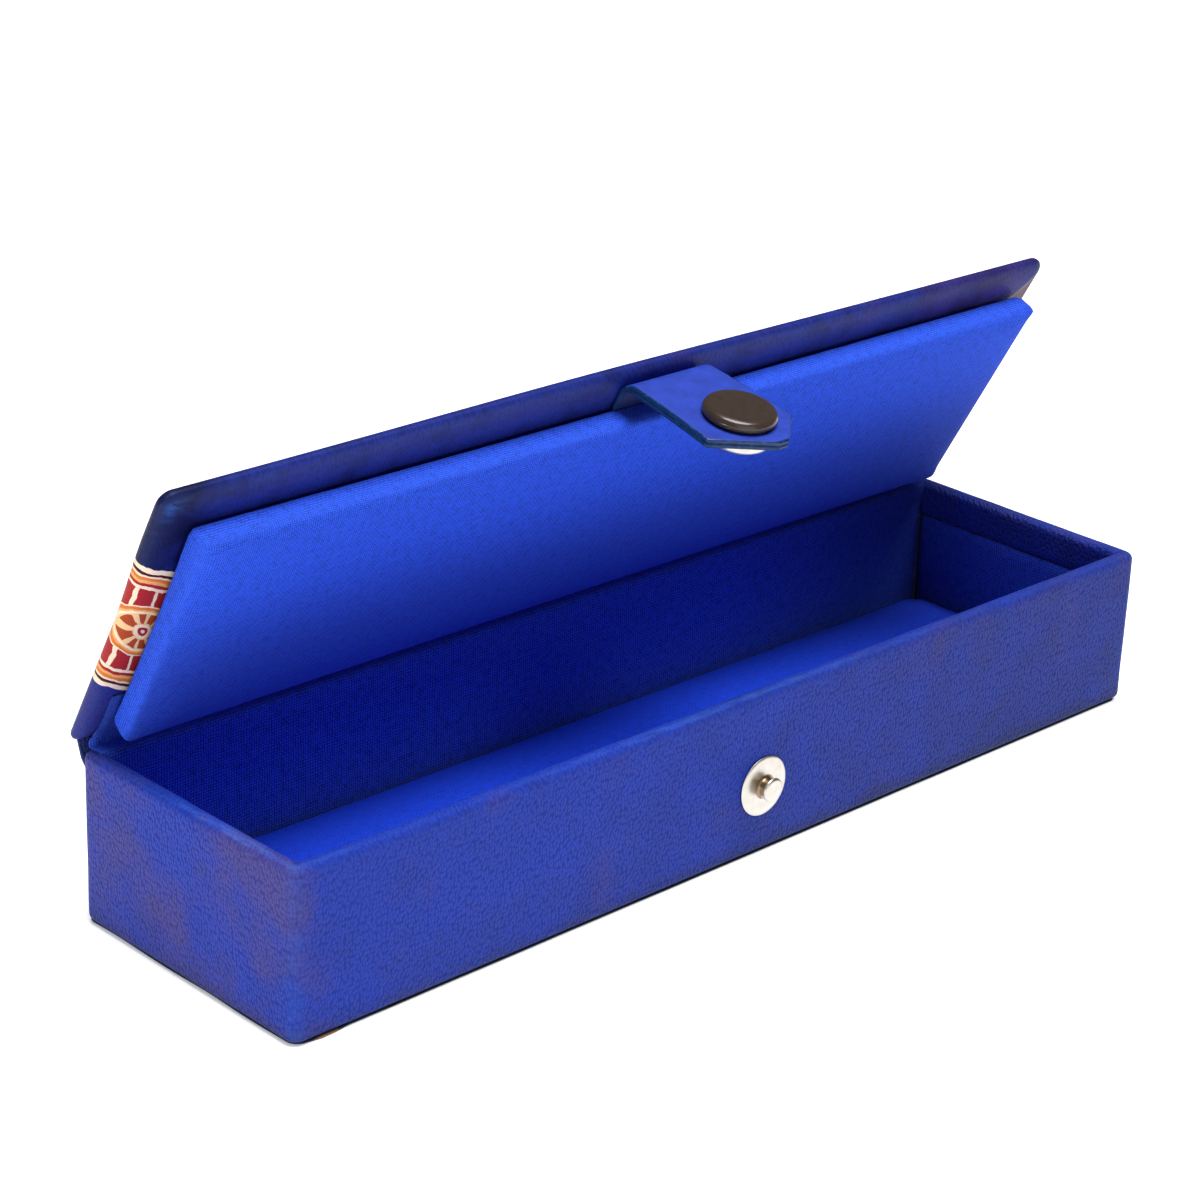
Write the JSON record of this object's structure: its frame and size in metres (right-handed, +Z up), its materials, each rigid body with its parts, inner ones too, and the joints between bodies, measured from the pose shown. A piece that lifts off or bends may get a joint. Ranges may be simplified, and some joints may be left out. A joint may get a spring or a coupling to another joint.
{
  "type": "pencil box",
  "caption": "Long low leather-covered box with a padded hinged lid, a cloth-lined compartment for pencils and a snap strap that holds the lid shut.",
  "frame": {"origin": "centre of the underside of the box", "axes": "+X along the length, -Y out of the front wall with the snap stud, +Z up; the lid hinges on the +Y side"},
  "size_m": [0.2174, 0.0634, 0.0855],
  "materials": {
    "grey_board": "raw pressed board",
    "wall_leather": "dyed, creased grain, half matte",
    "lid_leather": "dyed, smooth, half matte",
    "strap_leather": "dyed, smooth, painted edges",
    "bottom_leather": "matte backing sheet",
    "cotton": "plain weave cotton",
    "foam": "soft foam sheet",
    "nickel": "nickel plated, pressed",
    "black_enamel": "gloss enamel"
  },
  "bodies": {
    "box": {"base_board": "grey_board", "front_board": "grey_board", "rear_board": "grey_board", "left_board": "grey_board", "right_board": "grey_board", "wall_leather": "wall_leather", "bottom_leather": "bottom_leather", "spine_leather": "wall_leather", "lining_front": "cotton", "lining_rear": "grey_board", "lining_left": "cotton", "lining_right": "cotton", "hinge_cloth_box": "cotton", "base_pad_card": "grey_board", "base_pad_foam": "foam", "base_pad_cover": "cotton", "snap_stud": "nickel", "stud_rivet": "nickel"},
    "lid": {"lid_board": "grey_board", "lid_leather": "lid_leather", "hinge_cloth_lid": "cotton", "lid_pad_card": "grey_board", "lid_pad_foam": "foam", "lid_pad_cover": "cotton", "strap_root": "strap_leather"},
    "strap": {"strap_face": "strap_leather", "strap_backing": "strap_leather", "snap_cap": "black_enamel", "snap_socket": "nickel", "socket_spring": "nickel"}
  },
  "joints": [
    {"name": "lid_hinge", "type": "hinge", "parent": "box", "child": "lid", "pos_m": [0, 0.0289, 0.0324], "axis": [-1, 0, 0], "range_deg": [-60.8, 108]},
    {"name": "strap_hinge", "type": "hinge", "parent": "lid", "child": "strap", "pos_m": [0, -0.00104, 0.08318], "axis": [-1, 0, 0], "range_deg": [-5, 74.5]}
  ]
}
